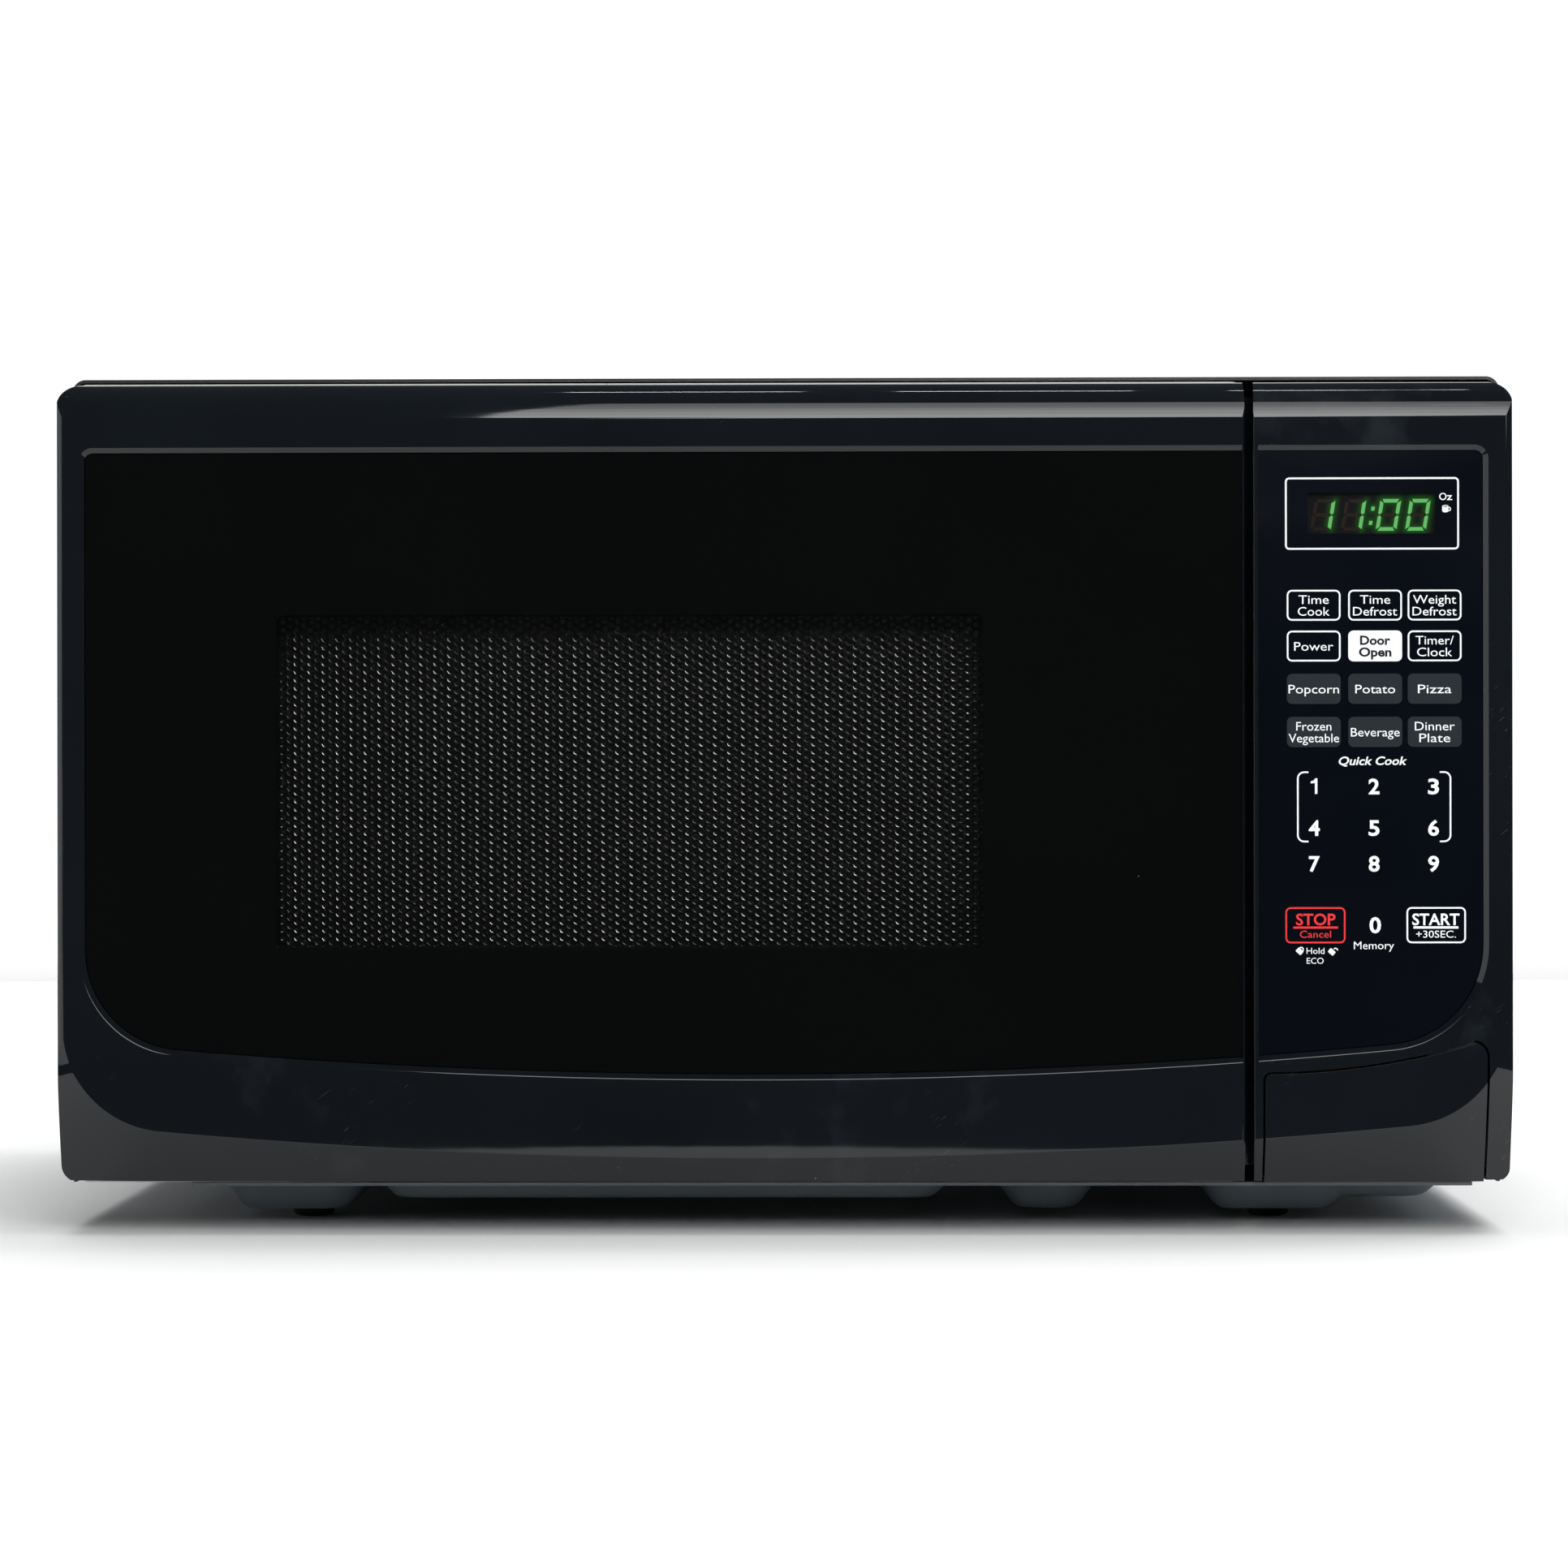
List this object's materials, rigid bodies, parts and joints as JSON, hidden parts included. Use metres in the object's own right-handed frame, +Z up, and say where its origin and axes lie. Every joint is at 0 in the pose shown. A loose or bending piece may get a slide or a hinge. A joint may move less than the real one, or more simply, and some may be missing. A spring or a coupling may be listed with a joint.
{
  "type": "microwave oven",
  "caption": "Compact countertop microwave oven with a side-hinged door, push-button door release, membrane keypad and a driven glass turntable.",
  "frame": {"origin": "on the table under the middle of the oven, on the underside of the feet", "axes": "+X to the right as seen from the front, +Y to the back, +Z up; the door is shut"},
  "size_m": [0.44, 0.343, 0.2615],
  "materials": {
    "fascia": "high gloss black moulding",
    "pane": "dark tinted, high gloss",
    "keypad": "gloss film with printed legends",
    "cabinet_paint": "satin black powder coat",
    "chassis": "blue-grey coated steel",
    "cavity_paint": "grey-white stoved enamel",
    "zinc": "zinc-plated sheet",
    "screen": "satin black on perforated steel",
    "black_plastic": "fine textured moulding",
    "white_plastic": "natural moulding",
    "rubber": "matt",
    "clear_glass": "clear",
    "mica": "pressed mica sheet",
    "iron": "varnished laminations",
    "copper": "enamelled copper winding",
    "circuit": "circuit board laminate",
    "spring": "drawn spring wire"
  },
  "bodies": {
    "root": {"outer_cabinet": "cabinet_paint", "rear_panel": "chassis", "base_plate": "chassis", "foot_front_left": "rubber", "foot_front_right": "rubber", "foot_rear_left": "rubber", "foot_rear_right": "rubber", "front_plate": "cavity_paint", "cavity_floor": "cavity_paint", "cavity_left_wall": "cavity_paint", "cavity_right_wall": "cavity_paint", "cavity_ceiling": "cavity_paint", "cavity_back_wall": "cavity_paint", "cord_bushing": "black_plastic", "lower_hinge_bracket": "zinc", "upper_hinge_bracket": "zinc", "waveguide": "zinc", "waveguide_cover": "mica", "magnetron_frame": "zinc", "magnetron_core": "zinc", "transformer_core": "iron", "secondary_winding": "copper", "primary_winding": "copper", "capacitor": "zinc", "high_voltage_diode": "black_plastic", "fan_shroud": "white_plastic", "fan_motor": "iron", "noise_filter_board": "circuit", "lamp_bulb": "clear_glass", "lamp_holder": "white_plastic", "turntable_motor": "zinc", "control_panel_frame": "fascia", "keypad_overlay": "keypad", "display_module": "black_plastic", "control_board": "circuit", "latch_board": "white_plastic", "upper_switch": "black_plastic", "lower_switch": "black_plastic", "monitor_switch": "black_plastic"},
    "door": {"door_frame": "fascia", "window_pane": "pane", "door_screen_panel": "screen", "choke_cover": "black_plastic", "inner_window_film": "clear_glass", "latch_spring": "spring"},
    "latch_bar": {"latch_hook_bar": "white_plastic"},
    "release_button": {"release_button": "fascia"},
    "release_lever": {"release_lever": "white_plastic", "lever_spring": "spring"},
    "turntable": {"glass_turntable": "clear_glass", "drive_coupler": "white_plastic"},
    "roller_ring": {"roller_ring": "white_plastic"},
    "wheel_1": {"ring_wheel_1": "white_plastic"},
    "wheel_2": {"ring_wheel_2": "white_plastic"},
    "wheel_3": {"ring_wheel_3": "white_plastic"},
    "fan": {"fan_blade": "white_plastic"},
    "upper_plunger": {"upper_plunger": "white_plastic"},
    "lower_plunger": {"lower_plunger": "white_plastic"},
    "monitor_plunger": {"monitor_plunger": "white_plastic"}
  },
  "joints": [
    {"name": "door_hinge", "type": "hinge", "parent": "root", "child": "door", "pos_m": [-0.209, -0.154, 0.13], "axis": [0, 0, -1], "range_deg": [0, 100]},
    {"name": "button_press", "type": "slide", "parent": "root", "child": "release_button", "axis": [0, 1, 0], "range_m": [0, 0.005], "stiffness_N_per_m": 1200, "springref_m": -0.002},
    {"name": "lever_turn", "type": "hinge", "parent": "root", "child": "release_lever", "pos_m": [0.143, -0.1345, 0.066], "axis": [1, 0, 0], "range_deg": [0, 14.4]},
    {"name": "latch_lift", "type": "slide", "parent": "door", "child": "latch_bar", "axis": [0, 0, 1], "range_m": [0, 0.004], "deforming": ["latch_spring"]},
    {"name": "turntable_spin", "type": "hinge", "parent": "root", "child": "turntable", "pos_m": [-0.046, 0.009, 0.05], "axis": [0, 0, 1], "continuous": true},
    {"name": "ring_spin", "type": "hinge", "parent": "root", "child": "roller_ring", "pos_m": [-0.046, 0.009, 0.043], "axis": [0, 0, 1], "continuous": true},
    {"name": "wheel_1_spin", "type": "hinge", "parent": "roller_ring", "child": "wheel_1", "pos_m": [-0.046, 0.0955, 0.0428], "axis": [0, 1, 0], "continuous": true},
    {"name": "wheel_2_spin", "type": "hinge", "parent": "roller_ring", "child": "wheel_2", "pos_m": [-0.12091, -0.03425, 0.0428], "axis": [-0.866, -0.5, 0], "continuous": true},
    {"name": "wheel_3_spin", "type": "hinge", "parent": "roller_ring", "child": "wheel_3", "pos_m": [0.02891, -0.03425, 0.0428], "axis": [0.866, -0.5, 0], "continuous": true},
    {"name": "fan_spin", "type": "hinge", "parent": "root", "child": "fan", "pos_m": [0.164, 0.119, 0.112], "axis": [0, 1, 0], "continuous": true},
    {"name": "upper_plunger_slide", "type": "slide", "parent": "root", "child": "upper_plunger", "axis": [0, -1, 0], "range_m": [0, 0.0015]},
    {"name": "lower_plunger_slide", "type": "slide", "parent": "root", "child": "lower_plunger", "axis": [0, -1, 0], "range_m": [0, 0.0015]},
    {"name": "monitor_plunger_slide", "type": "slide", "parent": "root", "child": "monitor_plunger", "axis": [0, -1, 0], "range_m": [0, 0.0015]}
  ],
  "couplings": [
    {"joint": "lever_turn", "follows": "button_press", "rad_per_m": 50},
    {"joint": "latch_lift", "follows": "button_press", "ratio": 0.8},
    {"joint": "ring_spin", "follows": "turntable_spin", "ratio": 0.5},
    {"joint": "wheel_1_spin", "follows": "turntable_spin", "ratio": -5.0882},
    {"joint": "wheel_2_spin", "follows": "turntable_spin", "ratio": -5.0882},
    {"joint": "wheel_3_spin", "follows": "turntable_spin", "ratio": -5.0882},
    {"joint": "upper_plunger_slide", "follows": "door_hinge", "m_per_rad": 0.000859},
    {"joint": "lower_plunger_slide", "follows": "door_hinge", "m_per_rad": 0.000859},
    {"joint": "monitor_plunger_slide", "follows": "door_hinge", "m_per_rad": 0.000859}
  ]
}
